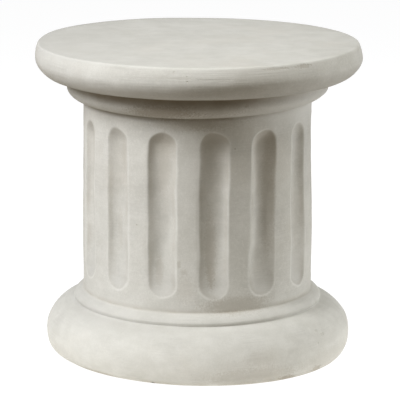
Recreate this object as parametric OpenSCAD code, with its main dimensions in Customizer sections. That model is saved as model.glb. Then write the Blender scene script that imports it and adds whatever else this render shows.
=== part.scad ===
// Squat fluted column, cast in one piece: a round top, an echinus, a fluted shaft, a bead and a torus base.
// Millimetres, +Z up. The origin is on the floor, at the middle of the underside.

/* [Column] */
// Overall height, from the floor to the flat top
column_h = 457; // [360:1:760]
// Diameter of the shaft at its upper end
shaft_d = 334; // [260:1:420]
// How much the radius of the shaft grows from its upper end to its lower end
shaft_spread = 2; // [0:0.5:8]

/* [Flutes] */
// Number of flutes round the shaft
flute_count = 14; // [8:1:16]
// Width of a flute, from edge to edge
flute_w = 40; // [24:1:48]
// Depth of a flute below the face of the shaft
flute_depth = 10; // [5:0.5:12]
// Plain band of shaft left above and below the flutes
flute_margin = 21.5; // [8:0.5:40]

/* [Round top] */
// Thickness of the round top
top_h = 49; // [40:1:70]
// Overhang of the round top beyond the echinus
top_out = 47.5; // [30:0.5:80]
// Horizontal reach of the curve from the flat underside out to the widest line
top_nose_out = 26.5; // [16:0.5:30]
// Height of the widest line above the underside
top_nose_h = 26; // [20:0.5:32]
// Fullness of that curve: 2 gives an ellipse, and less gives a flatter curve
top_fullness = 1.6; // [1.2:0.05:2]
// Radius of the edge above the widest line
top_side_r = 58; // [40:0.5:80]
// Rounding where the edge meets the flat top
top_arris_r = 4; // [2:0.5:6]

/* [Echinus] */
// Projection of the echinus beyond the shaft
echinus_out = 24; // [14:0.5:36]
// Height of its rounded lower part
echinus_round_h = 18; // [10:0.5:30]
// Fullness of that part
echinus_fullness = 1.75; // [1.2:0.05:2]
// Height of its plain upper band
echinus_band_h = 11; // [4:0.5:24]
// Radius of the cove between that band and the round top
cove_r = 5; // [2:0.5:8]

/* [Base] */
// Height of the torus at the foot
torus_h = 76.5; // [60:0.5:110]
// Projection of the torus beyond the bead
torus_out = 41; // [30:0.5:60]
// Radius of the upper curve of the torus
torus_r = 48; // [40:0.5:58]
// Distance that the foot stands in from the widest line of the torus
foot_in = 14.5; // [6:0.5:24]
// Projection of the bead beyond the shaft
bead_out = 14.5; // [8:0.5:24]
// Height of the bead above the torus
bead_h = 16.5; // [10:0.5:26]
// Height of the widest line of the bead above the torus
bead_nose_h = 5; // [3:0.5:9]
// How far the bead swells out above the crease where it meets the torus
bead_swell = 2; // [0:0.5:6]
// Fullness of the bead above its widest line
bead_fullness = 1.45; // [1.2:0.05:2]

/* [Hidden] */
$fn = 128;
arc_steps = 12; // straight steps in each quarter curve
joint_lap = 1; // how far one moulding runs into the next
cast_stone = [0.82, 0.81, 0.77];

echinus_h = echinus_round_h + echinus_band_h + cove_r;
bead_z = torus_h;
shaft_z = bead_z + bead_h;
top_z = column_h - top_h;
echinus_z = top_z - echinus_h;
shaft_h = echinus_z - shaft_z;

shaft_top_r = shaft_d / 2;
shaft_foot_r = shaft_top_r + shaft_spread;
bead_r = shaft_foot_r + bead_out;
torus_max_r = bead_r + torus_out;
echinus_r = shaft_top_r + echinus_out;
top_r = echinus_r + top_out;

// A quarter curve of horizontal reach a and vertical reach b, from its widest point [a, 0] to [0, b]
function quarter(a, b, fullness = 2) = [
    for (i = [0:arc_steps])
        let (t = 90 * i / arc_steps)
        [a * pow(cos(t), 2 / fullness), b * pow(sin(t), 2 / fullness)]
];
// The same points moved to a centre, turned up or down, and listed in either direction
function placed(points, r, z, up = 1) = [for (p = points) [r + p[0], z + up * p[1]]];
function backwards(points) = [for (i = [len(points) - 1:-1:0]) points[i]];
// Points round a circle about [r, z], from angle a0 to angle a1 above the horizontal
function arc(r, z, radius, a0, a1) = [
    for (i = [0:arc_steps])
        let (t = a0 + (a1 - a0) * i / arc_steps)
        [r + radius * cos(t), z + radius * sin(t)]
];

// Height of the upper curve of the torus at a radius from the axis
function torus_top(r) =
    let (reach = max(0, r - (torus_max_r - torus_r)))
    torus_h - torus_r + sqrt(pow(torus_r, 2) - pow(reach, 2));

// Turns a half outline, listed from the bottom up, into a moulding closed on the axis
module turned(outline) {
    first = outline[0];
    last = outline[len(outline) - 1];
    rotate_extrude() polygon(concat([[0, first[1]]], outline, [[0, last[1]]]));
}

// Torus: a flat foot, a short curve out to the widest line and a round shoulder above it
module torus_base() {
    nose_z = torus_h - torus_r;
    below = placed(quarter(foot_in, nose_z), torus_max_r - foot_in, nose_z, -1);
    above = placed(quarter(torus_r, torus_r), torus_max_r - torus_r, nose_z);
    turned(concat(backwards(below), above));
}

// Bead: a narrow round collar between the torus and the shaft
module bead() {
    crease_r = bead_r - bead_swell;
    nose_z = bead_z + bead_nose_h;
    below = placed(quarter(bead_swell, bead_nose_h), crease_r, nose_z, -1);
    above = placed(quarter(bead_out, bead_h - bead_nose_h, bead_fullness), shaft_foot_r, nose_z);
    turned(concat([[crease_r, torus_top(crease_r) - joint_lap]], backwards(below), above));
}

// Shaft: a plain tapering drum, which the flutes are cut from
module shaft() {
    lap_r = joint_lap * shaft_spread / shaft_h;
    translate([0, 0, shaft_z - joint_lap])
        cylinder(r1 = shaft_foot_r + lap_r, r2 = shaft_top_r - lap_r, h = shaft_h + 2 * joint_lap);
}

// Echinus: a quarter round, a plain band and a cove up to the round top
module echinus() {
    band_z = echinus_z + echinus_round_h;
    round_part = placed(quarter(echinus_out, echinus_round_h, echinus_fullness), shaft_top_r, band_z, -1);
    cove = arc(echinus_r + cove_r, top_z - cove_r, cove_r, 180, 90);
    turned(concat(backwards(round_part), cove, [[echinus_r + cove_r, top_z + joint_lap]]));
}

// Round top: a flat slab with a deep rounded edge and a tighter arris
module round_top() {
    nose_z = top_z + top_nose_h;
    below = placed(quarter(top_nose_out, top_nose_h, top_fullness), top_r - top_nose_out, nose_z, -1);
    side_r = top_r - top_side_r;
    arris_z = column_h - top_arris_r;
    arris_angle = asin((arris_z - nose_z) / (top_side_r - top_arris_r));
    side = arc(side_r, nose_z, top_side_r, 0, arris_angle);
    arris_centre = side_r + (top_side_r - top_arris_r) * cos(arris_angle);
    arris = arc(arris_centre, arris_z, top_arris_r, arris_angle, 90);
    turned(concat(backwards(below), side, arris));
}

// One flute: a round-nosed channel with a ball end at its top and its bottom, parallel to the face of the shaft
module flute() {
    middle_r = (shaft_top_r + shaft_foot_r) / 2;
    crown = middle_r - sqrt(pow(middle_r, 2) - pow(flute_w / 2, 2));
    chord_depth = flute_depth - crown;
    cutter_r = (pow(flute_w / 2, 2) + pow(chord_depth, 2)) / (2 * chord_depth);
    end_reach = sqrt(2 * cutter_r * flute_depth - pow(flute_depth, 2));
    straight_h = shaft_h - 2 * flute_margin - 2 * end_reach;
    translate([middle_r, 0, shaft_z + shaft_h / 2])
        rotate([0, -atan(shaft_spread / shaft_h), 0])
            translate([cutter_r - flute_depth, 0, 0]) {
                cylinder(r = cutter_r, h = straight_h, center = true);
                for (end = [-1, 1])
                    translate([0, 0, end * straight_h / 2]) sphere(r = cutter_r);
            }
}

module flutes() {
    for (i = [0:flute_count - 1])
        rotate(i * 360 / flute_count) flute();
}

// The whole casting: one solid
module column() {
    color(cast_stone) {
        torus_base();
        bead();
        difference() {
            shaft();
            flutes();
        }
        echinus();
        round_top();
    }
}

column();
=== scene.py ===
import bpy
import math
import numpy as np
from functools import partial
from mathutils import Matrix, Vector


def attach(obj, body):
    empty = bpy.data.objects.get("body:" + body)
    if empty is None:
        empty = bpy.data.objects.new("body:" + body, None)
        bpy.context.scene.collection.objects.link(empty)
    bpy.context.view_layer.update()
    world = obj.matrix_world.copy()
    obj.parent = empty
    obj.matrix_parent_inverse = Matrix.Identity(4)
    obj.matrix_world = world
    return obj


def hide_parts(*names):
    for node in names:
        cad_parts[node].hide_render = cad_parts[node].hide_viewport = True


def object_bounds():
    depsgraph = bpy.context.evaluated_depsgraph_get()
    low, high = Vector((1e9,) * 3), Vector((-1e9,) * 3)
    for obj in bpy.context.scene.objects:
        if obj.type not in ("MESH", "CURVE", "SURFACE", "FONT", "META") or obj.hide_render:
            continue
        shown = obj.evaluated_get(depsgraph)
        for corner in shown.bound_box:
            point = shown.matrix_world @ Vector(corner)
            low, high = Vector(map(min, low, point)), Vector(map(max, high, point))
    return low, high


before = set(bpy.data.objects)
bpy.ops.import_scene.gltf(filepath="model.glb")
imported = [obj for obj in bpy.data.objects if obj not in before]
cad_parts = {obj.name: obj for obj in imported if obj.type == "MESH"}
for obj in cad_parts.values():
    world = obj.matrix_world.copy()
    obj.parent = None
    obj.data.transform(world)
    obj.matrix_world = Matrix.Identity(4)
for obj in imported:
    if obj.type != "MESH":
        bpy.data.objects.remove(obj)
cadLow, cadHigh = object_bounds()
columnHeight = cadHigh.z - cadLow.z
topRadius = (cadHigh.x - cadLow.x) / 2
print("frame loaded, column", round(columnHeight, 4), "m high")

# everything is in metres
outlineSizes = {
    "shaftTopRadius": 0.167,
    "shaftSpread": 0.002,  # growth of the shaft's radius towards its foot
    "topThickness": 0.049,
    "topNoseOut": 0.0265,  # reach of the curve under the round top
    "topNoseHeight": 0.026,
    "topFullness": 1.6,
    "topSideRadius": 0.058,
    "topArrisRadius": 0.004,
    "echinusOut": 0.024,
    "echinusRound": 0.018,
    "echinusFullness": 1.75,
    "echinusBand": 0.011,
    "coveRadius": 0.005,
    "torusHeight": 0.0765,
    "torusRadius": 0.048,
    "torusOut": 0.041,
    "footIn": 0.0145,
    "beadOut": 0.0145,
    "beadHeight": 0.0165,
    "beadNose": 0.0050,
    "beadSwell": 0.0020,
    "beadFullness": 1.45,
    "plainBand": 0.0215,  # shaft left plain above and below the flutes
    "cornerSoftness": 0.0011,  # how far every corner is worn round
}

rowSizes = {
    "traceStep": 0.0005,  # spacing of the points that the outline is first traced with
    "flatStep": 0.018,  # longest gap between rings of points on the top and the underside
    "mouldingStep": 0.0055,
    "shaftStep": 0.0075,
    "fluteEndStep": 0.0021,
    "turn": math.radians(14),  # most that the outline turns between two rings
    "shaftSlack": 0.004,  # how far out from the shaft's upper radius still counts as shaft
    "endMiddle": 0.008,  # how far inside a flute's end its close rings have their middle
    "endReach": 0.018,  # and how far they go either way
    "footFlat": 0.002,  # heights that count as the underside and as the top
    "topFlat": 0.0005,
    "fullBend": 400,  # radians per metre in a full crease or on a full edge
    "bendReach": 4,  # smoothing of the bend, in steps of the trace
}

fluteInputs = {
    "Flute Count": 14,
    "Columns per Flute": 32,
    "Inner Columns": 0.40,  # of the 0.5 from a flute's middle to the land's, this much is set close
    "Inner Reach": 1.16,  # and reaches this far, in half widths of a flute
    "Flute Width": 0.040,
    "Flute Depth": 0.0100,
    "Flute Fullness": 2.2,  # 2 gives a plain bowl, and more gives steeper sides and a flatter floor
    "Foot Fade": 0.060,  # stretch over which a flute grows shallow towards its foot
    "Head Fade": 0.025,
    "Lip Softness": 0.0016,
    "Foot Lean": 0.0035,  # the flutes end lower on one side of the shaft
    "End Scatter": 0.0012,
    "Side Wander": 0.0016,
    "Trough Wander": 0.0085,  # the deepest line of a flute strays from its middle
    "Hand Wobble": 0.0010,
    "Fine Wobble": 0.0004,
    "Foot Shift": 0.0084,  # the foot of the torus sits off centre
    "Foot Pinch": 0.0091,  # and is drawn the other way at its two sides
    "Shoulder Sag": 0.0045,  # the bead and the shoulder of the torus lie lower at the back
    "Flute Slip": 0.0017,  # the flutes at the front were pressed in a little to one side
    "Flute Spread": 0.07,  # and a little wider
    "Trough Lean": 0.0014,  # with their deepest line off the middle
    "Flute Tilt": 0.0026,  # and one of them leans
    "Shaft Swell": 0.0014,  # the shaft is stouter at its two sides
    "Foot Flare": 0.0038,  # the foot stands further out at one side of the front
    "Crease Fill": 0.0030,  # the crease under the bead is filled in at one side
    "Neck Lift": 0.0020,  # the underside of the echinus lies higher at one side
    "Body Shift": 0.0022,  # the shaft and the base sit off centre under the round top
    "Face Shift": 0.0010,  # so does the flat of the round top
    "Face Tilt": 0.0012,  # its back and one side lie lower
    "Face Bulge": 0.0075,  # its edge stands further out at one side of the back
    "Seed": 3.0,
}


def quarterCurve(reach, rise, fullness=2.0, steps=24):
    turns = [math.radians(90 * i / steps) for i in range(steps + 1)]
    return [
        (reach * max(math.cos(t), 0) ** (2 / fullness), rise * math.sin(t) ** (2 / fullness))
        for t in turns
    ]


def placed(points, radius, height, up=1):
    return [(radius + r, height + up * z) for r, z in points]


def arcPoints(radius, height, size, start, end, steps=24):
    turns = [math.radians(start + (end - start) * i / steps) for i in range(steps + 1)]
    return [(radius + size * math.cos(t), height + size * math.sin(t)) for t in turns]


def moulding(s):  # the half outline from the middle of the underside up to the middle of the top
    shaftFootRadius = s["shaftTopRadius"] + s["shaftSpread"]
    beadRadius = shaftFootRadius + s["beadOut"]
    torusMax = beadRadius + s["torusOut"]
    torusNose = s["torusHeight"] - s["torusRadius"]
    topUnder = columnHeight - s["topThickness"]
    echinusFoot = topUnder - s["coveRadius"] - s["echinusBand"] - s["echinusRound"]
    echinusRadius = s["shaftTopRadius"] + s["echinusOut"]
    points = [(0, 0)]
    foot = quarterCurve(s["footIn"], torusNose)
    points += placed(foot, torusMax - s["footIn"], torusNose, -1)[::-1]
    shoulder = quarterCurve(s["torusRadius"], s["torusRadius"])
    points += placed(shoulder, torusMax - s["torusRadius"], torusNose)[1:]
    crease = beadRadius - s["beadSwell"]
    points = [p for p in points if not (p[1] > torusNose and p[0] < crease)]
    swell = quarterCurve(s["beadSwell"], s["beadNose"])
    points += placed(swell, crease, s["torusHeight"] + s["beadNose"], -1)[::-1]
    beadTop = quarterCurve(s["beadOut"], s["beadHeight"] - s["beadNose"], s["beadFullness"])
    points += placed(beadTop, shaftFootRadius, s["torusHeight"] + s["beadNose"])[1:]
    echinus = quarterCurve(s["echinusOut"], s["echinusRound"], s["echinusFullness"])
    points += placed(echinus, s["shaftTopRadius"], echinusFoot + s["echinusRound"], -1)[::-1]
    cove = arcPoints(echinusRadius + s["coveRadius"], topUnder - s["coveRadius"], s["coveRadius"], 180, 90)
    points += cove
    nose = topUnder + s["topNoseHeight"]
    under = quarterCurve(s["topNoseOut"], s["topNoseHeight"], s["topFullness"])
    points += placed(under, topRadius - s["topNoseOut"], nose, -1)[::-1]
    sideCentre = topRadius - s["topSideRadius"]
    inner = s["topSideRadius"] - s["topArrisRadius"]
    arrisHeight = columnHeight - s["topArrisRadius"]
    lean = math.degrees(math.asin((arrisHeight - nose) / inner))
    points += arcPoints(sideCentre, nose, s["topSideRadius"], 0, lean)[1:]
    arrisCentre = sideCentre + inner * math.cos(math.radians(lean))
    points += arcPoints(arrisCentre, arrisHeight, s["topArrisRadius"], lean, 90)[1:]
    points.append((0, columnHeight))
    shaft = {"foot": s["torusHeight"] + s["beadHeight"], "head": echinusFoot}
    return np.array(points, float), shaft


def evenly(points, step):  # the same line as points spaced evenly along it
    lengths = np.hypot(*np.diff(points, axis=0).T)
    along = np.concatenate([[0], np.cumsum(lengths)])
    marks = np.linspace(0, along[-1], int(along[-1] / step) + 1)
    return np.stack([np.interp(marks, along, points[:, i]) for i in (0, 1)], 1)


def smoothed(values, reach):  # a running average with soft ends, reach in steps
    span = np.arange(-int(4 * reach), int(4 * reach) + 1)  # past four reaches the weight is nothing
    weight = np.exp(-0.5 * (span / reach) ** 2)
    padded = np.pad(values, len(span) // 2, mode="reflect", reflect_type="odd")
    return np.convolve(padded, weight / weight.sum(), "valid")


def outlineRows(s, rows):
    sharp, shaft = moulding(s)
    step = rows["traceStep"]
    line = evenly(sharp, step)
    line = np.stack([smoothed(line[:, i], s["cornerSoftness"] / step) for i in (0, 1)], 1)
    line[0], line[-1] = (0, 0), (0, columnHeight)
    line[:, 0] = line[:, 0].clip(0)
    heading = np.unwrap(np.arctan2(np.gradient(line[:, 1]), np.gradient(line[:, 0])))
    bend = np.gradient(heading) / step
    radius, height = line.T
    onShaft = (height > shaft["foot"]) & (height < shaft["head"])
    onShaft &= radius < s["shaftTopRadius"] + rows["shaftSlack"]
    fluteFoot, fluteHead = shaft["foot"] + s["plainBand"], shaft["head"] - s["plainBand"]
    fromFoot = abs(height - fluteFoot - rows["endMiddle"])
    fromHead = abs(height - fluteHead + rows["endMiddle"])
    nearEnd = np.minimum(fromFoot, fromHead) < rows["endReach"]
    gap = np.full(len(line), rows["mouldingStep"])
    gap[onShaft] = rows["shaftStep"]
    gap[onShaft & nearEnd] = rows["fluteEndStep"]
    flat = (height < rows["footFlat"]) | (height > columnHeight - rows["topFlat"])
    gap[flat] = rows["flatStep"]
    cost = np.cumsum(step / gap + abs(bend) * step / rows["turn"])
    wanted = np.arange(1, int(cost[-1])) * cost[-1] / int(cost[-1])
    picks = np.unique(np.concatenate([[0], np.searchsorted(cost, wanted), [len(line) - 1]]))
    bend = smoothed((bend / rows["fullBend"]).clip(-1, 1), rows["bendReach"])[picks]
    return line[picks], bend, {"foot": fluteFoot, "head": fluteHead}


def outlineObject(points, bend):  # bend is below 0 in a crease and above 0 on an edge
    mesh = bpy.data.meshes.new("outline")
    corners = [(r, 0, z) for r, z in points]
    mesh.from_pydata(corners, [(i, i + 1) for i in range(len(corners) - 1)], [])
    for name, values in (("crease", -bend), ("edge", bend)):
        mesh.attributes.new(name, "FLOAT", "POINT").data.foreach_set("value", values.clip(0, 1))
    outline = bpy.data.objects.new("columnCasting", mesh)
    bpy.context.scene.collection.objects.link(outline)
    return outline


def feed(tree, socket, value):  # a link, a number or a vector into a socket
    if isinstance(value, bpy.types.NodeSocket):
        tree.links.new(value, socket)
    else:
        socket.default_value = value


def maths(tree, operation, *values):
    node = tree.nodes.new("ShaderNodeMath")
    node.operation = operation
    for socket, value in zip(node.inputs, values):
        feed(tree, socket, value)
    return node.outputs[0]


def product(tree, *values):
    result = values[0]
    for value in values[1:]:
        result = maths(tree, "MULTIPLY", result, value)
    return result


def total(tree, *values):
    result = values[0]
    for value in values[1:]:
        result = maths(tree, "ADD", result, value)
    return result


def remap(tree, value, low, high, newLow, newHigh, curve="LINEAR"):
    node = tree.nodes.new("ShaderNodeMapRange")
    node.interpolation_type = curve
    for socket, given in zip(node.inputs, (value, low, high, newLow, newHigh)):
        feed(tree, socket, given)
    return node.outputs[0]


def combine(tree, x, y, z):
    node = tree.nodes.new("ShaderNodeCombineXYZ")
    for socket, value in zip(node.inputs, (x, y, z)):
        feed(tree, socket, value)
    return node.outputs[0]


def separate(tree, vector):
    node = tree.nodes.new("ShaderNodeSeparateXYZ")
    feed(tree, node.inputs[0], vector)
    return node.outputs


def waviness(tree, place, wavelength, seed, detail):  # noise about 0, mostly from -1 to 1
    node = tree.nodes.new("ShaderNodeTexNoise")
    node.noise_dimensions = "4D"
    feed(tree, node.inputs["Vector"], place)
    feed(tree, node.inputs["W"], seed)
    feed(tree, node.inputs["Scale"], 1 / wavelength)
    feed(tree, node.inputs["Detail"], detail)
    return maths(tree, "MULTIPLY_ADD", node.outputs[0], 4.0, -2.0)


# what the mould's unevenness is made of: wavelength, step from the seed, detail
waves = {
    "slow": (0.090, 0.0, 1.0),
    "fine": (0.028, 5.0, 2.0),
    "side": (0.055, 9.0, 1.0),
    "trough": (0.075, 13.0, 1.0),
}

# the side that an unevenness keeps to: degrees round from +X, and how narrowly it keeps to it
latheSides = {
    "slip": (272, 4),
    "tilt": (304, 14),
    "flare": (324, 3),
    "fill": (205, 1),
    "sag": (60, 1),
}

# each ramp: from, to, and its value at both ends, over the height in metres unless a note says otherwise
latheRamps = {
    "footFade": (0, 1, 0.42, 1),  # over the stretch that Foot Fade gives
    "headFade": (0, 1, 0.75, 1, "SMOOTHSTEP"),  # and over the one that Head Fade gives
    "landFade": (1.2, 1.5, 1, 0),  # over the distance from a flute's middle, in half widths
    "onSide": (0.08, 0.15, 0, 1),  # over the radius, so that the middle of the top stays flat
    "slip": (0.17, 0.36, 1, 0.6),
    "tilt": (0.15, 0.34, 1, -1),
    "footShift": (0, 0.03, 1, 0),
    "flare": (0, 0.042, 1, 0, "SMOOTHSTEP"),
    "swellFoot": (0.095, 0.16, 0, 1, "SMOOTHSTEP"),
    "swellHead": (0.19, 0.3, 1, 0, "SMOOTHSTEP"),
    "fillSide": (0.1, 0.8, 0.6, 1, "SMOOTHSTEP"),  # over the share of the side that it keeps to
    "fillHead": (0.09, 0.095, 1, 0),
    "bulgeStart": (1.6, 2.05, 0, 1, "SMOOTHSTEP"),  # over the angle in radians, as in the next line
    "bulgeEnd": (2.6, 3.2, 1, 0, "SMOOTHSTEP"),
    "sagFoot": (0.035, 0.065, 0, 1, "SMOOTHSTEP"),
    "sagHead": (0.095, 0.125, 1, 0, "SMOOTHSTEP"),
    "liftFoot": (0.355, 0.374, 0, 1, "SMOOTHSTEP"),
    "liftHead": (0.378, 0.394, 1, 0, "SMOOTHSTEP"),
}

latheShape = {
    "footPower": 1.5,  # how quickly the shift of the foot dies away upwards
    "pinchPower": 7.0,  # how narrowly the pinch keeps to the two sides
    "swellLean": 0.4,  # the swell is this much greater on +X, and as much less on -X
    "arrisBand": 0.004,  # below the flat top, where the flat's own shift and tilt are whole
    "slabBand": 0.016,  # below the round top, where the body's shift dies away
    "fillRise": 0.6,  # how far the filling raises the crease, against how far it fills it outwards
    "fillClean": 0.9,  # how much of the crease's darkening, painted shade with some dirt, the filling keeps out
    "seamDistance": 0.00002,
}


def latheTree():  # the empty tree, with its named inputs
    tree = bpy.data.node_groups.new("Fluted Lathe", "GeometryNodeTree")
    kinds = {"Outline": "Geometry", "Flute Count": "Int", "Columns per Flute": "Int", "Material": "Material"}
    fromOutline = ("Flute Foot", "Flute Head", "Shaft Radius", "Slab Foot", "Slab Nose", "Column Height")
    for name in ("Outline", *fluteInputs, *fromOutline, "Material"):
        kind = "NodeSocket" + kinds.get(name, "Float")
        tree.interface.new_socket(name, in_out="INPUT", socket_type=kind)
    tree.interface.new_socket("Casting", in_out="OUTPUT", socket_type="NodeSocketGeometry")
    return tree, tree.nodes.new("NodeGroupInput").outputs


def sweptOutline(tree, size):  # sweeps the outline round a circle, and notes where each point came from
    new, link = tree.nodes.new, tree.links.new
    toCurve = new("GeometryNodeMeshToCurve")
    link(size["Outline"], toCurve.inputs["Mesh"])
    keepPlace = new("GeometryNodeCaptureAttribute")
    keepPlace.capture_items.new("VECTOR", "Place")
    link(toCurve.outputs["Curve"], keepPlace.inputs["Geometry"])
    link(new("GeometryNodeInputPosition").outputs[0], keepPlace.inputs["Place"])
    circle = new("GeometryNodeCurvePrimitiveCircle")
    link(product(tree, size["Flute Count"], size["Columns per Flute"]), circle.inputs["Resolution"])
    keepTurn = new("GeometryNodeCaptureAttribute")
    keepTurn.capture_items.new("FLOAT", "Turn")
    link(circle.outputs["Curve"], keepTurn.inputs["Geometry"])
    column = new("GeometryNodeInputIndex").outputs[0]
    link(maths(tree, "DIVIDE", column, size["Columns per Flute"]), keepTurn.inputs["Turn"])
    sweep = new("GeometryNodeCurveToMesh")
    link(keepTurn.outputs["Geometry"], sweep.inputs["Curve"])
    link(keepPlace.outputs["Geometry"], sweep.inputs["Profile Curve"])
    radius, _, height = separate(tree, keepPlace.outputs["Place"])
    return sweep.outputs["Mesh"], keepTurn.outputs["Turn"], radius, height


def ramped(tree, value, *names):  # the product of the named ramps
    return product(tree, *(remap(tree, value, *latheRamps[name]) for name in names))


def pointFacts(tree, size, turn, radius, height):  # what the later steps ask about a point
    calc = partial(maths, tree)
    flute = calc("FLOOR", calc("ADD", turn, 0.5))
    across = calc("SUBTRACT", turn, flute)
    pitch = calc("DIVIDE", calc("MULTIPLY", size["Shaft Radius"], math.tau), size["Flute Count"])
    halfShare = calc("DIVIDE", calc("MULTIPLY", size["Flute Width"], 0.5), pitch)
    dense = calc("MULTIPLY", halfShare, size["Inner Reach"])
    distance = calc("ABSOLUTE", across)
    inside = remap(tree, distance, 0.0, size["Inner Columns"], 0.0, dense)
    beside = remap(tree, distance, size["Inner Columns"], 0.5, 0.0, calc("SUBTRACT", 0.5, dense))
    across = calc("MULTIPLY", calc("ADD", inside, beside), calc("SIGN", across))
    angle = calc("DIVIDE", calc("MULTIPLY", calc("ADD", flute, across), math.tau), size["Flute Count"])
    facing, abreast = calc("COSINE", angle), calc("SINE", angle)
    ringX, ringY = (product(tree, way, size["Shaft Radius"]) for way in (facing, abreast))
    slabTop = calc("SUBTRACT", size["Column Height"], latheShape["arrisBand"])
    return {
        "radius": radius,
        "height": height,
        "flute": flute,
        "sideways": calc("MULTIPLY", across, pitch),
        "angle": angle,
        "facing": facing,  # 1 towards +X
        "abreast": abreast,  # 1 towards +Y
        "where": combine(tree, ringX, ringY, height),
        "onSide": ramped(tree, radius, "onSide"),
        "onFace": remap(tree, height, size["Slab Nose"], slabTop, 0.0, 1.0),
    }


def towards(tree, at, side):  # 1 on that side of the column, and 0 on the far side
    degrees, power = latheSides[side]
    turned = maths(tree, "COSINE", maths(tree, "SUBTRACT", at["angle"], math.radians(degrees)))
    return maths(tree, "POWER", maths(tree, "MAXIMUM", turned, 0.0), power)


def wave(tree, size, at, name):
    wavelength, seedStep, detail = waves[name]
    return waviness(tree, at["where"], wavelength, maths(tree, "ADD", size["Seed"], seedStep), detail)


def fluteEnds(tree, size, at):  # the heights of a flute's foot and head, a little different for each
    scatter = tree.nodes.new("FunctionNodeRandomValue")
    scatter.data_type = "FLOAT"
    low, high = [i for i in scatter.inputs if i.type == "VALUE"][:2]
    low.default_value, high.default_value = -1, 1
    wrapped = maths(tree, "FLOORED_MODULO", at["flute"], size["Flute Count"])
    tree.links.new(wrapped, scatter.inputs["ID"])
    scattered = next(o for o in scatter.outputs if o.type == "VALUE")
    jitter = product(tree, scattered, size["End Scatter"])
    lean = product(tree, at["facing"], size["Foot Lean"])
    foot = maths(tree, "ADD", maths(tree, "SUBTRACT", size["Flute Foot"], lean), jitter)
    return foot, maths(tree, "SUBTRACT", size["Flute Head"], jitter)


def fluteHollow(tree, size, at):  # depth at a point, and its distance from the flute's middle in half widths
    calc = partial(maths, tree)
    height = at["height"]
    foot, head = fluteEnds(tree, size, at)
    halfWidth = calc("MULTIPLY", size["Flute Width"], 0.5)
    below = calc("SUBTRACT", calc("ADD", foot, halfWidth), height)
    above = calc("SUBTRACT", height, calc("SUBTRACT", head, halfWidth))
    past = calc("MAXIMUM", calc("MAXIMUM", below, above), 0.0)  # so that it ends in a half round

    slipped = product(tree, towards(tree, at, "slip"), ramped(tree, height, "slip"))
    widened = calc("SUBTRACT", 1.0, calc("MULTIPLY", slipped, size["Flute Spread"]))
    sideways = calc("MULTIPLY", calc("MULTIPLY_ADD", slipped, size["Flute Slip"], at["sideways"]), widened)
    tilted = product(tree, towards(tree, at, "tilt"), ramped(tree, height, "tilt"))
    sideways = calc("MULTIPLY_ADD", tilted, size["Flute Tilt"], sideways)
    stray = calc("MULTIPLY", wave(tree, size, at, "trough"), size["Trough Wander"])
    stray = calc("MULTIPLY_ADD", slipped, size["Trough Lean"], stray)
    nearEdge = calc("POWER", calc("DIVIDE", sideways, halfWidth), 2.0)
    sideways = calc("MULTIPLY_ADD", stray, calc("MAXIMUM", calc("SUBTRACT", 1.0, nearEdge), 0.0), sideways)

    away = calc("SQRT", calc("ADD", calc("POWER", sideways, 2.0), calc("POWER", past, 2.0)))
    share = calc("DIVIDE", away, halfWidth)
    bowl = calc("SUBTRACT", 1.0, calc("POWER", share, size["Flute Fullness"]))
    fromFoot = calc("DIVIDE", calc("SUBTRACT", height, foot), size["Foot Fade"])
    fromHead = calc("DIVIDE", calc("SUBTRACT", head, height), size["Head Fade"])
    fades = ramped(tree, fromFoot, "footFade"), ramped(tree, fromHead, "headFade")
    bowl = product(tree, bowl, size["Flute Depth"], *fades)
    sunk = calc("SMOOTH_MAX", bowl, 0.0, size["Lip Softness"])
    return product(tree, sunk, ramped(tree, share, "landFade")), share


def creaseFilling(tree, size, at):  # where the crease under the bead is filled, how far, and the crease
    node = tree.nodes.new("GeometryNodeInputNamedAttribute")
    node.data_type = "FLOAT"
    node.inputs["Name"].default_value = "crease"
    crease = next(o for o in node.outputs if o.name == "Attribute" and o.enabled)
    filled = ramped(tree, towards(tree, at, "fill"), "fillSide")
    filled = product(tree, filled, ramped(tree, at["height"], "fillHead"))
    return filled, product(tree, filled, crease, size["Crease Fill"]), crease


def outward(tree, size, at, filling):  # how far each point stands out from the true form, the flutes aside
    calc = partial(maths, tree)
    facing, height, onSide = at["facing"], at["height"], at["onSide"]
    slow = product(tree, calc("ADD", wave(tree, size, at, "slow"), 1.0), size["Hand Wobble"], 0.5)
    fine = product(tree, wave(tree, size, at, "fine"), size["Fine Wobble"])
    uneven = product(tree, calc("ADD", slow, fine), onSide)

    pinched = product(tree, calc("POWER", facing, latheShape["pinchPower"]), size["Foot Pinch"])
    shifted = calc("SUBTRACT", product(tree, facing, size["Foot Shift"]), pinched)
    nearFoot = calc("POWER", ramped(tree, height, "footShift"), latheShape["footPower"])
    shifted = product(tree, shifted, nearFoot, onSide)
    flare = product(tree, towards(tree, at, "flare"), ramped(tree, height, "flare"), onSide)

    leaning = calc("ADD", product(tree, facing, latheShape["swellLean"]), 1.0)
    swell = product(tree, facing, facing, leaning, ramped(tree, height, "swellFoot", "swellHead"))
    bulge = ramped(tree, at["angle"], "bulgeStart", "bulgeEnd")
    bulge = product(tree, bulge, at["onFace"], onSide, size["Face Bulge"])
    parts = [shifted, product(tree, flare, size["Foot Flare"]), product(tree, swell, size["Shaft Swell"])]
    return calc("SUBTRACT", total(tree, *parts, filling, bulge), uneven)


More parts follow.
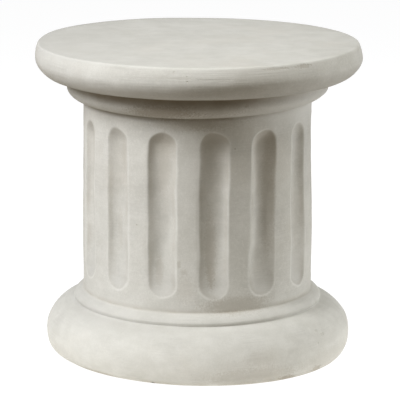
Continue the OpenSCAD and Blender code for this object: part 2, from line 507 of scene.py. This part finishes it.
def downward(tree, size, at, filling):  # how far each point lies below its true height
    calc = partial(maths, tree)
    height = at["height"]
    reach = calc("DIVIDE", at["radius"], size["Shaft Radius"])
    slope = product(tree, calc("ADD", at["facing"], at["abreast"]), 0.5, reach)
    tilt = product(tree, calc("ADD", slope, 1.0), at["onFace"], size["Face Tilt"], 0.5)
    sag = product(tree, towards(tree, at, "sag"), ramped(tree, height, "sagFoot", "sagHead"))
    sag = product(tree, sag, size["Shoulder Sag"])
    lift = product(tree, ramped(tree, height, "liftFoot", "liftHead"), size["Neck Lift"])
    lift = product(tree, lift, calc("MAXIMUM", at["facing"], 0.0))
    raised = total(tree, lift, product(tree, filling, latheShape["fillRise"]))
    return calc("SUBTRACT", calc("ADD", tilt, sag), raised)


def marked(tree, geometry, marks):  # stores values on the points, for the stone's colour
    for name, value in marks.items():
        mark = tree.nodes.new("GeometryNodeStoreNamedAttribute")
        mark.data_type, mark.domain = "FLOAT", "POINT"
        mark.inputs["Name"].default_value = name
        tree.links.new(geometry, mark.inputs["Geometry"])
        tree.links.new(value, next(i for i in mark.inputs if i.name == "Value" and i.enabled))
        geometry = mark.outputs["Geometry"]
    return geometry


def finished(tree, geometry, material):  # a closed, smooth mesh in its own material
    close = tree.nodes.new("GeometryNodeMergeByDistance")
    close.inputs["Distance"].default_value = latheShape["seamDistance"]
    real, dress = tree.nodes.new("GeometryNodeRealizeInstances"), tree.nodes.new("GeometryNodeSetMaterial")
    turned, smooth = tree.nodes.new("GeometryNodeFlipFaces"), tree.nodes.new("GeometryNodeSetShadeSmooth")
    tree.links.new(material, dress.inputs["Material"])
    for node in (close, turned, smooth, real, dress):
        tree.links.new(geometry, node.inputs[0])
        geometry = node.outputs[0]
    tree.links.new(geometry, tree.nodes.new("NodeGroupOutput").inputs["Casting"])


def flutedLathe():  # turns an outline into a closed body and presses the flutes into its shaft
    tree, size = latheTree()
    calc = partial(maths, tree)
    body, turn, radius, height = sweptOutline(tree, size)
    at = pointFacts(tree, size, turn, radius, height)
    sunk, share = fluteHollow(tree, size, at)
    filled, filling, crease = creaseFilling(tree, size, at)

    reach = calc("ADD", calc("SUBTRACT", radius, sunk), outward(tree, size, at, filling))
    drift = product(tree, wave(tree, size, at, "side"), size["Side Wander"])
    heading = calc("ADD", at["angle"], calc("DIVIDE", drift, size["Shaft Radius"]))
    x, y = (product(tree, reach, calc(way, heading)) for way in ("COSINE", "SINE"))
    slabBand = calc("SUBTRACT", size["Slab Foot"], latheShape["slabBand"])
    onBody = remap(tree, height, slabBand, size["Slab Foot"], 1.0, 0.0)
    shift = calc("MULTIPLY_ADD", at["onFace"], size["Face Shift"], product(tree, onBody, size["Body Shift"]))
    z = calc("SUBTRACT", height, downward(tree, size, at, filling))
    move = tree.nodes.new("GeometryNodeSetPosition")
    tree.links.new(body, move.inputs["Geometry"])
    tree.links.new(combine(tree, calc("SUBTRACT", x, shift), y, z), move.inputs["Position"])

    kept = calc("SUBTRACT", 1.0, calc("MULTIPLY", filled, latheShape["fillClean"]))
    marks = {
        "fluteDepth": calc("DIVIDE", sunk, size["Flute Depth"]),
        "fluteShare": calc("MINIMUM", share, 2.0),
        "crease": product(tree, crease, kept),
    }
    finished(tree, marked(tree, move.outputs["Geometry"], marks), size["Material"])
    return tree


def plainMesh(thing, tree, values):  # runs the tree on the object, and keeps its result as an ordinary mesh
    modifier = thing.modifiers.new("lathe", "NODES")
    modifier.node_group = tree
    for item in tree.interface.items_tree:
        if item.in_out == "INPUT" and item.name in values:
            modifier[item.identifier] = values[item.name]
    shown = thing.evaluated_get(bpy.context.evaluated_depsgraph_get())
    made = bpy.data.meshes.new_from_object(shown)
    thing.modifiers.remove(modifier)
    thing.data = made
    made.name = thing.name
    return made


stoneLook = {
    "pale": (0.572, 0.562, 0.520),
    "deep": (0.486, 0.476, 0.432),
    "warm": (0.540, 0.512, 0.452),
    # the stone's own grey, also laid as painted shade on the bead, in the flutes and on the left of the round
    # top
    "grey": (0.410, 0.400, 0.370),
    # the colour of dirt, and of the painted shade in the creases, the flutes, on the neck and under the round
    # top
    "dirt": (0.300, 0.262, 0.205),
    "grime": (0.070, 0.060, 0.048),
    "lime": (0.620, 0.612, 0.575),  # worn edges, and painted highlight and painted light
    "rust": (0.290, 0.260, 0.195),  # the stain along the foot
    "roughness": 0.84,
    "grainSize": 0.0019,
    "speckSize": 0.0042,
    "grainHeight": 0.00012,
    "lumpSize": 0.009,
    "lumpHeight": 0.00022,
    "strokeLength": 0.055,
    "strokeWidth": 0.0022,
    "strokeHeight": 0.00016,
    "poreSpacing": 0.019,
    "poreSize": 0.0011,
    "poreShare": 0.16,  # the share of places that have a pore
    "poreDepth": 0.0007,
    "poreDirt": 0.6,
    "pinholeSpacing": 0.007,
    "pinholeSize": 0.0005,
    "pinholeShare": 0.2,
    "pinholeDepth": 0.0003,
    "rippleSize": 1 / 420,  # what makes the marks ragged
    "ragged": 1.6,
    "raggedSmall": 0.7,
    "smallMark": 0.005,  # the widest mark that counts as small
    "grimeFrom": 0.9,  # marks dirtier than this are of grime
    "roughSpread": 0.06,
    "creaseRough": 0.05,
    "specular": 0.35,
}

# name: degrees round from the front, height, radius of the column there, half width, half height, how much
# darker it is made, depth; the marks named for shade hold painted shade
blemishes = {
    "footChip": (-13.4, 0.0018, 0.213, 0.003, 0.0022, 1, 0.0016),
    "footWearRight": (38, 0.005, 0.22, 0.015, 0.004, 0.6, 0.0006),
    "footWearFarRight": (53, 0.006, 0.221, 0.011, 0.006, 0.5, 0.0006),
    "footWearLeft": (-38, 0.004, 0.216, 0.035, 0.0035, 0.34, 0.0003),
    "footStainSide": (112, 0.005, 0.22, 0.03, 0.0045, 0.4, 0.0005),
    "footStainBack": (-150, 0.005, 0.216, 0.024, 0.004, 0.4, 0.0005),
    "basePitA": (56.3, 0.0568, 0.213, 0.0036, 0.0022, 0.16, 0.0003),
    "basePitB": (59.1, 0.0506, 0.2166, 0.0052, 0.0024, 0.2, 0.0004),
    "basePitC": (55, 0.0414, 0.2203, 0.0028, 0.0022, 0.14, 0.0003),
    "baseCloudA": (27.8, 0.0384, 0.2223, 0.03, 0.015, 0.12, 0),
    "baseCloudB": (17.3, 0.028, 0.2234, 0.034, 0.012, 0.1, 0),
    "rimPitA": (-4, 0.4508, 0.2342, 0.0017, 0.0013, 0.45, 0.0007),
    "rimPitB": (0.4, 0.4382, 0.2375, 0.0015, 0.0012, 0.4, 0.0006),
    "rimScuffA": (31, 0.4512, 0.2329, 0.024, 0.0026, 0.24, 0.0003),
    "rimScuffB": (42, 0.4512, 0.2325, 0.017, 0.0036, 0.36, 0.0005),
    "rimStreakA": (-2, 0.4422, 0.2368, 0.03, 0.0018, 0.1, 0.0001),
    "rimStreakB": (10, 0.4405, 0.2371, 0.034, 0.0016, 0.08, 0.0001),
    "echinusShade": (4, 0.388, 0.19, 0.09, 0.009, 0.3, 0),
    "neckShade": (10, 0.37, 0.167, 0.062, 0.016, 0.26, 0),
    "echinusMark": (24.4, 0.394, 0.1896, 0.0042, 0.0026, 0.34, 0.0004),
    "landSmudgeA": (-5.4, 0.164, 0.1681, 0.0036, 0.0075, 0.3, 0.0002),
    "landSmudgeB": (-2.8, 0.153, 0.1681, 0.0055, 0.006, 0.24, 0.0001),
    "landStain": (-2, 0.128, 0.169, 0.017, 0.025, 0.16, 0),
    # a brown stain above the bead at the front right, deepened with painted shade
    "shaftFootStainAndShade": (23, 0.103, 0.1692, 0.062, 0.015, 0.36, 0),
    # painted shade on the echinus under the round top, left of the front
    "echinusPaintedShade": (-12, 0.385, 0.185, 0.06, 0.013, 0.62, 0),
    "fluteStainA": (42, 0.25, 0.159, 0.013, 0.095, 0.26, 0),
    "fluteStainB": (10, 0.18, 0.159, 0.011, 0.08, 0.3, 0),
    "fluteStainC": (-13.5, 0.3, 0.159, 0.013, 0.06, 0.18, 0),
    "footStainA": (24, 0.014, 0.214, 0.08, 0.014, 0.24, 0),
    "footStainB": (62, 0.016, 0.216, 0.08, 0.015, 0.16, 0),
    # painted shade on the neck under the echinus
    "neckPaintedShade": (-4, 0.364, 0.167, 0.056, 0.011, 0.26, 0),
    "fluteStainD": (-36.6, 0.316, 0.159, 0.01, 0.03, 0.15, 0),
    "fluteStainE": (-40, 0.202, 0.159, 0.008, 0.036, 0.16, 0),
    "fluteStainF": (-16, 0.15, 0.16, 0.007, 0.03, 0.22, 0),
    "fluteStainG": (10, 0.145, 0.16, 0.007, 0.022, 0.26, 0),
    "rimStain": (-41, 0.438, 0.236, 0.013, 0.018, 0.07, 0),
    "shaftPitA": (-27.2, 0.2164, 0.1685, 0.0013, 0.0013, 0.45, 0.0006),
    "shaftPitB": (21.9, 0.3292, 0.166, 0.0014, 0.0014, 0.5, 0.0006),
    "shaftPitBack": (140, 0.29, 0.168, 0.0016, 0.0014, 0.5, 0.0006),
}


def effect(name, **inputs):  # an empty shader group with named inputs, and one output called Value
    tree = bpy.data.node_groups.new(name, "ShaderNodeTree")
    for label, kind in inputs.items():
        tree.interface.new_socket(label, in_out="INPUT", socket_type="NodeSocket" + kind)
    tree.interface.new_socket("Value", in_out="OUTPUT", socket_type="NodeSocketFloat")
    return tree, tree.nodes.new("NodeGroupInput").outputs, tree.nodes.new("NodeGroupOutput").inputs["Value"]


def use(tree, group, **values):  # places a group with its own values
    node = tree.nodes.new("ShaderNodeGroup")
    node.node_tree = group
    for label, value in values.items():
        feed(tree, node.inputs[label], value)
    return node.outputs[0]


def vectorMaths(tree, operation, *values):
    node = tree.nodes.new("ShaderNodeVectorMath")
    node.operation = operation
    for socket, value in zip(node.inputs, values):
        feed(tree, socket, value)
    return node.outputs["Value" if operation == "LENGTH" else "Vector"]


def noise(tree, vector, scale, detail, rough=0.5):
    node = tree.nodes.new("ShaderNodeTexNoise")
    for label, value in (("Vector", vector), ("Scale", scale), ("Detail", detail), ("Roughness", rough)):
        feed(tree, node.inputs[label], value)
    return node.outputs[0]


def mixed(tree, share, first, second):  # a colour between two colours
    node = tree.nodes.new("ShaderNodeMix")
    node.data_type = "RGBA"
    for label, value in (("Factor_Float", share), ("A_Color", first), ("B_Color", second)):
        socket = next(i for i in node.inputs if i.identifier == label)
        feed(tree, socket, (*value, 1) if isinstance(value, tuple) else value)
    return next(o for o in node.outputs if o.identifier == "Result_Color")


def cloudGroup():  # soft patches from 0 to 1, flattened along Z where Squash is over 1
    kinds = {"Size": "Float", "Squash": "Float", "Offset": "Vector", "Low": "Float", "High": "Float"}
    tree, given, out = effect("Clouding", Vector="Vector", **kinds)
    moved = vectorMaths(tree, "ADD", given["Vector"], given["Offset"])
    squashed = vectorMaths(tree, "MULTIPLY", moved, combine(tree, 1.0, 1.0, given["Squash"]))
    value = noise(tree, squashed, maths(tree, "DIVIDE", 1.0, given["Size"]), 4.0, 0.55)
    feed(tree, out, remap(tree, value, given["Low"], given["High"], 0.0, 1.0, "SMOOTHSTEP"))
    return tree


def strokeGroup():  # fine level streaks, as a wide brush leaves them
    tree, given, out = effect("Brush Strokes", Vector="Vector", Length="Float", Width="Float")
    ratio = maths(tree, "DIVIDE", given["Length"], given["Width"])
    flat = vectorMaths(tree, "MULTIPLY", given["Vector"], combine(tree, 1.0, 1.0, ratio))
    value = noise(tree, flat, maths(tree, "DIVIDE", 1.0, given["Length"]), 3.0, 0.6)
    feed(tree, out, remap(tree, value, 0.38, 0.66, 0.0, 1.0))
    return tree


def poreGroup():  # scattered round pits, most of the cells left bare
    tree, given, out = effect("Pores", Vector="Vector", Spacing="Float", Size="Float", Share="Float")
    cells = tree.nodes.new("ShaderNodeTexVoronoi")
    feed(tree, cells.inputs["Vector"], given["Vector"])
    feed(tree, cells.inputs["Scale"], maths(tree, "DIVIDE", 1.0, given["Spacing"]))
    chance, size, _ = separate(tree, cells.outputs["Color"])
    reach = maths(tree, "DIVIDE", given["Size"], given["Spacing"])
    reach = maths(tree, "MULTIPLY", reach, remap(tree, size, 0.0, 1.0, 0.4, 1.3))  # pits differ in size
    floor = maths(tree, "MULTIPLY", reach, 0.35)  # the flat middle of a pit
    pit = remap(tree, cells.outputs["Distance"], floor, reach, 1.0, 0.0, "SMOOTHSTEP")
    feed(tree, out, maths(tree, "MULTIPLY", pit, maths(tree, "LESS_THAN", chance, given["Share"])))
    return tree


def blemishGroup():  # one ragged mark at a place on the surface
    kinds = {"Place": "Vector", "Reach": "Vector", "Ripple": "Float", "Ragged": "Float"}
    tree, given, out = effect("Blemish", Vector="Vector", **kinds)
    offset = vectorMaths(tree, "SUBTRACT", given["Vector"], given["Place"])
    away = vectorMaths(tree, "DIVIDE", offset, given["Reach"])
    edge = maths(tree, "MULTIPLY_ADD", given["Ripple"], given["Ragged"], vectorMaths(tree, "LENGTH", away))
    feed(tree, out, remap(tree, edge, 0.45, 1.05, 1.0, 0.0, "SMOOTHSTEP"))
    return tree


# soft patches in the stone: size, offset, the noise that gives none and all of a patch, and how flat it is
stonePatches = {
    "broad": (0.085, 0, 0.32, 0.68),
    "patchy": (0.026, 1.7, 0.32, 0.68, 1.6),
    "warmPatch": (0.12, 3.1, 0.5, 0.75),
    "greyPatch": (0.045, 5.3, 0.52, 0.78),
    "worked": (0.07, 7.7, 0.42, 0.62),  # the brush shows in some places only
    "rimPatch": (0.035, 4.4, 0.32, 0.68),
    "lipPatch": (0.05, 6.6, 0.32, 0.68),
    "footPatch": (0.03, 9.1, 0.3, 0.6),
}

# each ramp in a tone: what it follows, from, to, and its value at both ends; x and z are places in metres
smoothTop = ("z", 0.452, 0.456, 1, 0.35)  # the flat top is smoother than the rest
grainyShaft = ("z", 0.085, 0.11, 0.55, 1)
leftAside, rightAside = ("x", -0.19, -0.13, 0.3, 1), ("x", 0.07, 0.17, 1, 0.15)  # less of the painted shade towards -X and +X, where the side lamps reach
allOf = (0, 1, 0, 1)  # the measure as it is
stoneTones = {  # laid over one another in this order: colour, then what its strength is the product of
    "warmth": ("warm", ("warmPatch", 0, 1, 0, 0.45)),
    "greyness": ("grey", ("greyPatch", 0, 1, 0, 0.35)),
    "brushing": ("grey", ("stroke", *allOf), ("worked", 0, 1, 0, 0.26), smoothTop),
    "grain": ("grey", ("grain", 0.4, 0.62, 0.34, 0), grainyShaft, smoothTop),
    "specks": ("pale", ("speck", 0.52, 0.7, 0, 0.45), grainyShaft, smoothTop),
    # painted shade in the creases, with some dirt, on the left of the bead and in the flutes, and painted
    # highlight on the flutes' lips
    # painted shade in the creases, with some dirt
    "creaseShadeAndDirt": ("dirt", ("crease", *allOf), ("patchy", 0, 1, 0.25, 0.6), ("z", 0.085, 0.095, 0.12, 1)),
    # painted shade on the bead and the top of the torus, at the left
    "collar": ("grey", ("z", 0.056, 0.0757, 0, 0.48), ("z", 0.0915, 0.0945, 1, 0),
               ("x", -0.14, 0.02, 1, 0.25), ("x", -0.2, -0.165, 0.1, 1)),
    # painted shade in the flutes, patchy
    "troughShade": ("grey", ("sunk", *allOf), ("patchy", 0, 1, 0.3, 0.05)),
    # painted shade in the flutes, growing towards their heads under the round top
    "upperFluteShade": ("dirt", ("sunk", *allOf), ("z", 0.2, 0.34, 0, 0.25), ("x", 0.11, 0.135, 1, 0)),
    # painted shade at the flutes' heads, across the front
    "fluteHeadShade": ("dirt", ("share", 0.95, 1.02, 1, 0), ("z", 0.312, 0.342, 0, 0.34),
                   ("x", -0.1, -0.04, 0, 1), ("x", 0.11, 0.135, 1, 0)),
    # painted shade at the flutes' feet
    "fluteFootShade": ("grey", ("sunk", 0, 0.05, 0, 1), ("share", 0.9, 1, 1, 0),
                  ("z", 0.118, 0.17, 0.6, 0)),
    # painted shade down the flutes' walls, just inside their lips
    "fluteWallShade": ("dirt", ("share", 0.6, 0.84, 0, 1), ("share", 0.88, 0.98, 1, 0),
                   ("sunk", 0, 0.05, 0, 1), ("rimPatch", 0, 1, 0, 0.24)),
    # painted highlight on the flutes' lips
    "lipHighlight": ("lime", ("share", 0.95, 1.03, 0, 1), ("share", 1.05, 1.15, 1, 0),
             ("lipPatch", 0, 1, 0, 0.6)),
    # under the round top: partly patina, partly painted shade from the slab, less of both at the two sides
    "patinaAndShadeUnderTop": ("dirt", ("z", 0.387, 0.401, 0, 1, "SMOOTHSTEP"), ("z", 0.41, 0.416, 1, 0),
                 ("out", 0.222, 0.2, 0, 1, "SMOOTHSTEP"), leftAside, rightAside,
                 ("patchy", 0, 1, 0.95, 0.75)),
    # painted shade on the neck under the echinus, less at the two sides
    "neckShadeBand": ("dirt", ("z", 0.335, 0.374, 0, 1, "SMOOTHSTEP"), ("z", 0.376, 0.38, 1, 0),
             leftAside, rightAside, ("broad", 0, 1, 0.14, 0)),
    # painted light on the neck at its two sides
    "litNeckSides": ("lime", ("washed", *allOf), ("z", 0.34, 0.365, 0, 0.75), ("z", 0.386, 0.396, 1, 0)),
    # the round top: its edges paler at the right, partly wear and partly painted highlight; painted shade on
    # its left; painted light under its rim at the left; a painted highlight along its rim
    # paler edges at the right: partly wear, partly painted highlight
    "wornAndHighlit": ("pale", ("edge", 0.15, 0.5, 0, 1), ("patchy", 0, 1, 0, 0.5),
               ("x", -0.05, 0.05, 0, 1)),
    # painted shade over the edges' highlight on the left
    "arrisShade": ("grey", ("edge", 0.02, 0.3, 0, 1), ("z", 0.43, 0.44, 0, 1),
               ("x", -0.16, 0, 0.62, 0)),
    # painted shade over the left of the rim and the flat top
    "rimShade": ("grey", ("z", 0.425, 0.436, 0, 1), ("x", -0.23, -0.1, 0.26, 0)),
    # painted light under the rim, at the left
    "litUnderRim": ("lime", ("z", 0.41, 0.414, 0, 1), ("z", 0.416, 0.426, 1, 0),
              ("out", 0.216, 0.224, 0, 1), ("x", -0.06, 0, 0.45, 0)),
    # painted highlight along the rim, from the front to the right
    "rimHighlight": ("lime", ("z", 0.434, 0.448, 0, 1), ("z", 0.455, 0.4565, 1, 0),
             ("x", -0.06, 0.03, 0, 0.55), ("x", 0.12, 0.18, 1, 0)),
    # painted shade on the flat top, strongest at the left
    "topShade": ("grey", ("z", 0.456, 0.4568, 0, 1), ("x", -0.2, 0.2, 0.42, 0)),
    # a brown stain along the foot, where the column has stood in the wet
    "footStain": ("rust", ("z", 0.0005, 0.0075, 1, 0), ("footPatch", 0, 1, 0, 0.7)),
}


def stoneMeasures(tree, look, spot):  # everything that a tone can follow, as values over the surface
    clouding = cloudGroup()

    def cloud(size, offset, low, high, squash=1.0):
        offsets = (offset, -offset, offset / 2)
        return use(tree, clouding, Vector=spot, Size=size, Squash=squash, Offset=offsets, Low=low, High=high)

    def carried(name):  # a value that the mesh carries
        node = tree.nodes.new("ShaderNodeAttribute")
        node.attribute_name = name
        return node.outputs["Fac"]

    strokeLength, strokeWidth = look["strokeLength"], look["strokeWidth"]
    x, y, z = separate(tree, spot)
    squares = total(tree, product(tree, x, x), product(tree, y, y))
    aside = product(tree, *(remap(tree, x, *ramp) for _, *ramp in (leftAside, rightAside)))
    measures = {name: cloud(*patch) for name, patch in stonePatches.items()}
    measures.update({
        "x": x,
        "z": z,
        "out": maths(tree, "SQRT", squares),  # distance from the axis
        "stroke": use(tree, strokeGroup(), Vector=spot, Length=strokeLength, Width=strokeWidth),
        "grain": noise(tree, spot, 1 / look["grainSize"], 3.0, 0.7),
        "speck": noise(tree, spot, 1 / look["speckSize"], 2.0, 0.6),
        "sunk": carried("fluteDepth"),
        "share": carried("fluteShare"),
        "crease": remap(tree, carried("crease"), 0.05, 0.45, 0.0, 1.0),  # only the sharper ones
        "edge": carried("edge"),
        "washed": maths(tree, "SUBTRACT", 1.0, aside),  # the two sides, which get painted light
    })
    return measures


def toned(tree, look, measures):  # the stone's colour under its marks
    broad, patchy = (product(tree, measures[name], 0.5) for name in ("broad", "patchy"))
    tone = maths(tree, "ADD", broad, patchy)
    colour = mixed(tree, tone, look["deep"], look["pale"])
    for paint, *ramps in stoneTones.values():
        strength = product(tree, *(remap(tree, measures[name], *ramp) for name, *ramp in ramps))
        colour = mixed(tree, strength, colour, look[paint])
    return colour, tone


def pitted(tree, look, spot, colour):  # pores and pinholes, and how deep they go
    pores = poreGroup()
    masks, hollows = [], []
    for kind in ("pore", "pinhole"):
        spacing, size, share = (look[kind + part] for part in ("Spacing", "Size", "Share"))
        masks.append(use(tree, pores, Vector=spot, Spacing=spacing, Size=size, Share=share))
        hollows.append(product(tree, masks[-1], look[kind + "Depth"]))
    darker = product(tree, maths(tree, "MAXIMUM", *masks), look["poreDirt"])
    return mixed(tree, darker, colour, look["dirt"]), total(tree, *hollows)


def blemished(tree, look, spot, colour, hollows):  # the marks of use, and painted shade on the echinus, the neck and above the bead
    blemish = blemishGroup()
    ripple = maths(tree, "SUBTRACT", noise(tree, spot, 1 / look["rippleSize"], 2.0), 0.5)
    given = {"Vector": spot, "Ripple": ripple}
    for azimuth, height, radius, across, high, dirt, depth in blemishes.values():
        turn = math.radians(azimuth)
        place = (radius * math.sin(turn), -radius * math.cos(turn), height)
        ragged = look["ragged"] if across > look["smallMark"] else look["raggedSmall"]
        mask = use(tree, blemish, Place=place, Reach=(across, across, high), Ragged=ragged, **given)
        paint = look["grime" if dirt > look["grimeFrom"] else "dirt"]
        colour = mixed(tree, product(tree, mask, dirt), colour, paint)
        hollows = maths(tree, "MULTIPLY_ADD", mask, depth, hollows)
    return colour, hollows


def stoneMaterial(look):
    material = bpy.data.materials.new("castStone")
    material.use_nodes = True
    tree = material.node_tree
    calc = partial(maths, tree)
    shader = tree.nodes["Principled BSDF"]
    spot = tree.nodes.new("ShaderNodeTexCoord").outputs["Object"]
    measures = stoneMeasures(tree, look, spot)
    colour, tone = toned(tree, look, measures)
    colour, hollows = pitted(tree, look, spot, colour)
    colour, hollows = blemished(tree, look, spot, colour, hollows)
    tree.links.new(colour, shader.inputs["Base Color"])

    # a little smoother on the pale rubbed skin, and rougher in the creases
    ends = look["roughness"] + look["roughSpread"], look["roughness"] - look["roughSpread"]
    rough = calc("MULTIPLY_ADD", measures["crease"], look["creaseRough"], remap(tree, tone, 0.0, 1.0, *ends))
    tree.links.new(rough, shader.inputs["Roughness"])
    shader.inputs["Specular IOR Level"].default_value = look["specular"]

    # relief in metres
    handled = remap(tree, measures["z"], *smoothTop[1:])
    brushed = product(tree, measures["stroke"], measures["worked"], handled)
    relief = product(tree, noise(tree, spot, 1 / look["lumpSize"], 2.0), look["lumpHeight"])
    relief = calc("MULTIPLY_ADD", measures["grain"], look["grainHeight"], relief)
    relief = calc("MULTIPLY_ADD", brushed, -look["strokeHeight"], relief)
    relief = calc("SUBTRACT", relief, hollows)
    bump = tree.nodes.new("ShaderNodeBump")
    bump.inputs["Distance"].default_value = 1.0
    tree.links.new(relief, bump.inputs["Height"])
    tree.links.new(bump.outputs["Normal"], shader.inputs["Normal"])
    return material


columnStone = stoneMaterial(stoneLook)
points, bend, flutes = outlineRows(outlineSizes, rowSizes)
print("outline rows", len(points))
column = outlineObject(points, bend)
values = dict(fluteInputs)
values["Flute Foot"], values["Flute Head"] = flutes["foot"], flutes["head"]
values["Shaft Radius"] = outlineSizes["shaftTopRadius"] + outlineSizes["shaftSpread"] / 2
values["Slab Foot"] = columnHeight - outlineSizes["topThickness"]
values["Slab Nose"] = values["Slab Foot"] + outlineSizes["topNoseHeight"]
values["Column Height"] = columnHeight
values["Material"] = columnStone
columnMesh = plainMesh(column, flutedLathe(), values)
columnMesh.calc_loop_triangles()
print("column made,", len(columnMesh.loop_triangles), "triangles")

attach(column, "root")
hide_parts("column")

floorLook = {
    "span": 15,
    "seenColour": (0.16, 0.16, 0.16, 1),  # with the glow, this gives a near-white floor with a faint shadow
    "glow": 0.95,
    "nearBounce": (1.37, 1.34, 1.28),  # the light thrown up at the stone from close to the foot
    "farBounce": (0.14, 0.10, 0.05),  # and from further out, so that undersides stay dark
    "reach": 0.42,  # where the one gives way to the other
    "fade": 0.03,
    "sideShare": (1.15, 0.93),  # how much of the light comes from the left and from the right
    "sideReach": 0.35,
}


def paleFloor(look):  # clear from below, so that the underside can be seen
    material = bpy.data.materials.new("paleFloor")
    material.use_nodes = True
    tree = material.node_tree
    tree.nodes.clear()
    new, link = tree.nodes.new, tree.links.new
    place = new("ShaderNodeNewGeometry")
    apart = vectorMaths(tree, "LENGTH", place.outputs["Position"])
    share = remap(tree, apart, look["reach"] - look["fade"], look["reach"] + look["fade"], 0.0, 1.0)
    thrown, seen = new("ShaderNodeEmission"), new("ShaderNodeBsdfDiffuse")
    link(mixed(tree, share, look["nearBounce"], look["farBounce"]), thrown.inputs["Color"])
    x = separate(tree, place.outputs["Position"])[0]
    side = remap(tree, x, -look["sideReach"], look["sideReach"], *look["sideShare"])
    link(side, thrown.inputs["Strength"])
    seen.inputs["Color"].default_value = look["seenColour"]
    glow, lit, clear = new("ShaderNodeEmission"), new("ShaderNodeAddShader"), new("ShaderNodeBsdfTransparent")
    glow.inputs["Strength"].default_value = look["glow"]
    link(seen.outputs[0], lit.inputs[0])
    link(glow.outputs[0], lit.inputs[1])
    byRay, bySide = new("ShaderNodeMixShader"), new("ShaderNodeMixShader")
    link(new("ShaderNodeLightPath").outputs["Is Camera Ray"], byRay.inputs[0])
    link(thrown.outputs[0], byRay.inputs[1])
    link(lit.outputs[0], byRay.inputs[2])
    link(place.outputs["Backfacing"], bySide.inputs[0])
    link(byRay.outputs[0], bySide.inputs[1])
    link(clear.outputs[0], bySide.inputs[2])
    link(bySide.outputs[0], new("ShaderNodeOutputMaterial").inputs["Surface"])
    mesh = bpy.data.meshes.new("floor")
    s = look["span"]
    mesh.from_pydata([(-s, -s, 0), (s, -s, 0), (s, s, 0), (-s, s, 0)], [], [(0, 1, 2, 3)])
    mesh.materials.append(material)
    floor = bpy.data.objects.new("floor", mesh)
    bpy.context.scene.collection.objects.link(floor)


paleFloor(floorLook)
print("floor made")

cameraPlace = {
    "azimuth": math.radians(4.26),  # from straight in front, towards +X
    "distance": 3.390,
    "height": 0.998,
    "tilt": math.radians(12.93),  # downwards
    "pan": math.radians(0.0267),  # to the right
    "lens": 212.4,
    "sensor": 36,
    "near": 0.05,
    "far": 60,
}


def placeCamera(place):
    data = bpy.data.cameras.new("camera")
    data.sensor_width = place["sensor"]
    data.lens = place["lens"]
    data.clip_start, data.clip_end = place["near"], place["far"]
    camera = bpy.data.objects.new("camera", data)
    turn, away = place["azimuth"], place["distance"]
    camera.location = (away * math.sin(turn), -away * math.cos(turn), place["height"])
    camera.rotation_euler = (math.pi / 2 - place["tilt"], 0, turn - place["pan"])
    bpy.context.scene.collection.objects.link(camera)
    bpy.context.scene.camera = camera


placeCamera(cameraPlace)


def softbox(name, azimuth, elevation, width, height, power, colour):
    data = bpy.data.lights.new(name, "AREA")
    data.shape = "RECTANGLE"
    data.size, data.size_y = width, height
    data.energy = power
    data.color = colour
    lamp = bpy.data.objects.new(name, data)
    a, e = math.radians(azimuth), math.radians(elevation)
    aim = Vector((0, 0, columnHeight / 2))
    back = Vector((math.sin(a) * math.cos(e), -math.cos(a) * math.cos(e), math.sin(e)))
    lamp.location = aim + back * lampDistance
    lamp.rotation_euler = back.to_track_quat("Z", "Y").to_euler()
    bpy.context.scene.collection.objects.link(lamp)


lampDistance = 2.2  # from the middle of the column

# name: degrees round from the front, degrees up, width, height, watts, colour
studioLights = {
    "keyLight": (-45, 43, 0.6, 0.6, 33.2, (0.975, 0.985, 1.0)),
    "leftLight": (-60, 35, 0.6, 0.6, 17.5, (0.94, 0.95, 1.0)),
    "sideLight": (-70, 20, 0.8, 0.8, 10.0, (1.0, 1.0, 1.0)),
    "highLight": (-15, 62, 0.9, 0.9, 2.5, (1.0, 1.0, 1.0)),
    "frontLight": (30, 35, 0.8, 0.8, 6.6, (1.0, 0.94, 0.80)),
    "fillLight": (55, 60, 0.8, 0.8, 11.2, (1.0, 0.99, 0.94)),
    "rimLight": (102, 5, 0.6, 0.6, 28.5, (0.96, 0.98, 1.0)),
    "backLight": (180, 50, 1.2, 1.2, 7.2, (1.0, 0.98, 0.96)),
}
for name, settings in studioLights.items():
    softbox(name, *settings)

ambient = {"colour": (0.85, 0.92, 1.0, 1), "strength": 0.10, "backdrop": 0.98}


def studioWorld(look):  # a soft fill for the stone, and a plain white behind everything
    world = bpy.data.worlds.new("studio")
    world.use_nodes = True
    tree = world.node_tree
    fill = tree.nodes["Background"]
    fill.inputs["Color"].default_value = look["colour"]
    fill.inputs["Strength"].default_value = look["strength"]
    white = tree.nodes.new("ShaderNodeBackground")
    white.inputs["Color"].default_value = (1, 1, 1, 1)
    white.inputs["Strength"].default_value = look["backdrop"]
    mix = tree.nodes.new("ShaderNodeMixShader")
    tree.links.new(tree.nodes.new("ShaderNodeLightPath").outputs["Is Camera Ray"], mix.inputs[0])
    tree.links.new(fill.outputs[0], mix.inputs[1])
    tree.links.new(white.outputs[0], mix.inputs[2])
    tree.links.new(mix.outputs[0], tree.nodes["World Output"].inputs["Surface"])
    bpy.context.scene.world = world


studioWorld(ambient)
bpy.context.scene.view_settings.view_transform = "Standard"
print("lights placed", len(studioLights))
